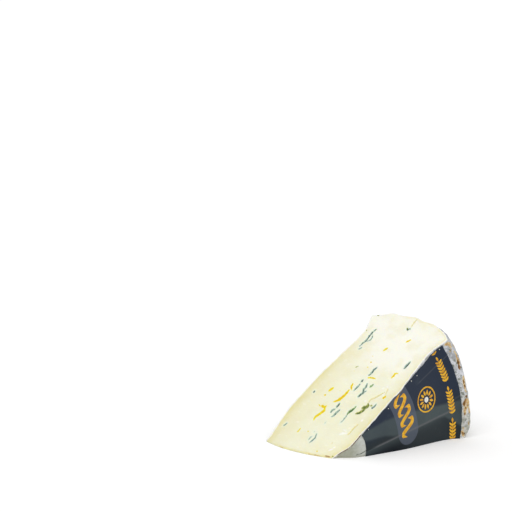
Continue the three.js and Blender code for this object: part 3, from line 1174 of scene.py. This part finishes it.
def onto_label(geometry, size):
    geometry = made_from({0: geometry}, "GeometryNodeRealizeInstances")
    inputs = {"Geometry": geometry, "Radius": size["Radius"], "Turn": size["Turn"]}
    return made_from(inputs, "GeometryNodeGroup", node_tree=bend)


def bar_solid(length, width, steps):
    """A flat bar along X, its middle at the origin."""
    inputs = {"Size": vector(length, width, PRINT_THICK), "Vertices X": steps}
    return made_from(inputs, "GeometryNodeMeshCube")


def laid_flat(solid, x=None, y=None):
    """A solid moved up onto the flat layout's ground, with new places along or across if given."""
    at = spot_parts(solid.id_data)
    return reshaped(solid, x or at[0], y or at[1], plus(at[2], PRINT_THICK / 2))


def leaf_solid(length, width):
    """A flat pointed leaf that starts at the origin and points along X."""
    tree = length.id_data
    solid = {"Vertices": LEAF_SIDES, "Radius": 1.0, "Depth": 1.0}
    solid = put_node(tree, "GeometryNodeMeshCylinder", solid).outputs[0]
    at = spot_parts(tree)
    ahead = times(plus(at[0], 1), divided(length, 2))
    pointed = times(at[1], maths("ABSOLUTE", at[1]))
    return reshaped(solid, ahead, times(pointed, divided(width, 2)), times(plus(at[2], 0.5), PRINT_THICK))


def row_of(count, spacing):
    """A row of points along X."""
    return made_from({"Count": count, "Offset": vector(spacing, 0, 0)}, "GeometryNodeMeshLine")


def one_at_each(points, solid, turn=None):
    inputs = {"Points": points, "Instance": solid}
    if turn:
        inputs["Rotation"] = vector(0, 0, turn)
    return made_from(inputs, "GeometryNodeInstanceOnPoints")


def joined(*parts):
    join = put_node(parts[0].id_data, "GeometryNodeJoinGeometry")
    for part in reversed(parts):
        join.id_data.links.new(part, join.inputs[0])
    return join.outputs[0]


def printed(name, tree, sizes):
    """Runs a motif's tree and rides the result on the label's body."""
    motif = piece_of(bpy.data.meshes.new(name), name)
    carried_out(motif, tree, sizes)
    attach(motif, "root")
    return motif


# braid: one full wave as a link, each link over the end of the one before
BRAID_SIZES = {
    "Radius": BAND_R,
    "Turn": math.radians(11.5),
    "Links": 4,
    "Wave length": 14.5 * MM,
    "Wave height": 4.3 * MM,
    "Strand width": 2.3 * MM,
    "Gap": 1.7 * MM,
}
LINK_STEPS = 41
braid, size = sized_tree("label_braid", BRAID_SIZES)
link_length = minus(size["Wave length"], times(size["Gap"], 2))
link = bar_solid(link_length, size["Strand width"], LINK_STEPS)
at = spot_parts(braid)
waves_in = divided(math.tau, size["Wave length"])
phase = times(at[0], waves_in)
rise = times(maths("SINE", phase), size["Wave height"])
slope = times(maths("COSINE", phase), times(waves_in, size["Wave height"]))
widen = maths("SQRT", plus(times(slope, slope), 1))
link = laid_flat(link, y=plus(times(at[1], widen), rise))
row = row_of(size["Links"], divided(size["Wave length"], 2))
end_tree(onto_label(one_at_each(row, link), size), (gold, True))
printed("label_braid", braid, BRAID_SIZES)

# garland: pairs of leaves on a thin stem with one leaf at its end
GARLAND_SIZES = {
    "Radius": 84.0 * MM,
    "Turn": 0.0,
    "Pairs": 7,
    "Spacing": 2.1 * MM,
    "Leaf length": 3.2 * MM,
    "Leaf width": 1.25 * MM,
    "Leaf lean": math.radians(42),
    "Stem width": 0.45 * MM,
}
GARLAND_TURNS = {"low": (-4.0, 6), "middle": (8.5, 7), "high": (23.0, 7), "top": (36.6, 1)}
STEM_STEPS = 24
garland, size = sized_tree("label_garland", GARLAND_SIZES)
leaf = leaf_solid(size["Leaf length"], size["Leaf width"])
row = row_of(size["Pairs"], size["Spacing"])
stem_length = times(size["Spacing"], size["Pairs"])
stem = bar_solid(stem_length, size["Stem width"], STEM_STEPS)
half_stem = divided(stem_length, 2)
stem = laid_flat(stem, x=plus(spot_parts(garland)[0], half_stem))
end_place = {"Count": 1, "Start Location": vector(stem_length, 0, 0)}
end_place = made_from(end_place, "GeometryNodeMeshLine")
leaves = [
    one_at_each(row, leaf, size["Leaf lean"]),
    one_at_each(row, leaf, times(size["Leaf lean"], -1)),
    one_at_each(end_place, leaf),
]
end_tree(onto_label(joined(stem, *leaves), size), (gold, True))
for place_name, (turn, pairs) in GARLAND_TURNS.items():
    sizes = {**GARLAND_SIZES, "Turn": math.radians(turn), "Pairs": pairs}
    printed("label_garland_" + place_name, garland, sizes)

# rosette: petals inside a ring, with a cream eye
ROSETTE_SIZES = {
    "Radius": 66.0 * MM,
    "Turn": math.radians(21),
    "Petals": 12,
    "Petal start": 2.6 * MM,
    "Petal length": 3.4 * MM,
    "Petal width": 1.5 * MM,
    "Ring radius": 7.4 * MM,
    "Ring width": 0.9 * MM,
    "Eye radius": 1.7 * MM,
}
RING_STEPS = 72
EYE_SIDES = 32
rosette, size = sized_tree("label_rosette", ROSETTE_SIZES)
petal = leaf_solid(size["Petal length"], size["Petal width"])
around = {"Vertices": size["Petals"], "Radius": size["Petal start"]}
around = made_from(around, "GeometryNodeMeshCircle")
number = put_node(rosette, "GeometryNodeInputIndex").outputs[0]
petals = one_at_each(around, petal, times(number, divided(math.tau, size["Petals"])))
circle = {"Resolution": RING_STEPS, "Radius": size["Ring radius"]}
circle = made_from(circle, "GeometryNodeCurvePrimitiveCircle")
profile = {0: size["Ring width"], 1: PRINT_THICK}
profile = made_from(profile, "GeometryNodeCurvePrimitiveQuadrilateral")
ring = laid_flat(made_from({0: circle, 1: profile}, "GeometryNodeCurveToMesh"))
eye = {"Vertices": EYE_SIDES, "Radius": size["Eye radius"], "Depth": PRINT_THICK}
eye = {"Geometry": laid_flat(made_from(eye, "GeometryNodeMeshCylinder")), "Name": "eye", "Value": True}
eye = made_from(eye, "GeometryNodeStoreNamedAttribute", data_type="BOOLEAN", domain="FACE")
laid = onto_label(joined(petals, ring, eye), size)
end_tree(laid, (gold, True), (cream, named_value(rosette, "eye", "BOOLEAN")))
printed("label_rosette", rosette, ROSETTE_SIZES)


# ---- crumbs ----
# Cutting leaves a few crumbs of paste on the label beside the upper cut.
CRUMB_SIZES = {
    "Crumbs in a square metre": 32000.0,
    "Crumb size": 0.32 * MM,
    "Strip": 3.5,
    "Seed": 9,
}
CRUMB_SHADE = paint(216, 218, 208)
CRUMB_PALE = paint(240, 238, 226)
OUTER_NORMAL = -0.5

crumb_cream, _, shader, where = new_material("crumb_cream")
fill_sockets(shader, {
    "Base Color": over(grain(where, 0.8 * MM), CRUMB_SHADE, CRUMB_PALE),
    "Roughness": 0.6,
})

crumbs, size = sized_tree("label_crumbs", CRUMB_SIZES)
normal = put_node(crumbs, "GeometryNodeInputNormal").outputs[0]
outer = maths("LESS_THAN", parts_of(normal)[1], OUTER_NORMAL)
near_cut = maths("LESS_THAN", named_value(crumbs, "to_cut"), size["Strip"])
scattered = made_from({
    "Mesh": film_shape(crumbs),
    "Selection": times(outer, near_cut),
    "Density": size["Crumbs in a square metre"],
    "Seed": size["Seed"],
}, "GeometryNodeDistributePointsOnFaces")
ball = made_from({"Radius": size["Crumb size"], "Subdivisions": 2}, "GeometryNodeMeshIcoSphere")
scales = {"Min": (0.3, 0.3, 0.3), "Max": (1.3, 0.7, 1.0), "Seed": size["Seed"]}
scales = made_from(scales, "FunctionNodeRandomValue", data_type="FLOAT_VECTOR")
grown = {"Points": scattered, "Instance": ball, "Scale": scales}
grown = made_from(grown, "GeometryNodeInstanceOnPoints")
end_tree(grown, (crumb_cream, True))
crumb_piece = piece_of(bpy.data.meshes.new("label_crumbs"), "label_crumbs")
carried_out(crumb_piece, crumbs, CRUMB_SIZES)
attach(crumb_piece, "root")


# ---- floor and light ----
# A plain white floor under soft light from all round, with one large lamp high on the left.
FLOOR_R = 30.0
FLOOR_WHITE = 0.97
WORLD_LIGHT = 0.8
LAMP_STRENGTH = 1.2
LAMP_SPREAD = math.radians(60)
LAMP_TURN = (math.radians(28), math.radians(-30), 0)

floor_mesh = bpy.data.meshes.new("floor")
corners = [(-FLOOR_R, -FLOOR_R, 0), (FLOOR_R, -FLOOR_R, 0), (FLOOR_R, FLOOR_R, 0), (-FLOOR_R, FLOOR_R, 0)]
floor_mesh.from_pydata(corners, [], [(0, 1, 2, 3)])
floor = piece_of(floor_mesh, "floor")
white, _, shader, _ = new_material("floor_white")
fill_sockets(shader, {
    "Base Color": (FLOOR_WHITE, FLOOR_WHITE, FLOOR_WHITE, 1),
    "Roughness": 0.9,
    "Specular IOR Level": 0,
})
floor_mesh.materials.append(white)

world = bpy.data.worlds.new("studio")
bpy.context.scene.world = world
world.use_nodes = True
sky = world.node_tree.nodes["Background"]
fill_sockets(sky, {"Color": (1, 1, 1, 1), "Strength": WORLD_LIGHT})

lamp = bpy.data.lights.new("lamp", "SUN")
lamp.energy = LAMP_STRENGTH
lamp.angle = LAMP_SPREAD
lamp_object = bpy.data.objects.new("lamp", lamp)
lamp_object.rotation_euler = LAMP_TURN
bpy.context.scene.collection.objects.link(lamp_object)
bpy.context.scene.view_settings.view_transform = "Standard"
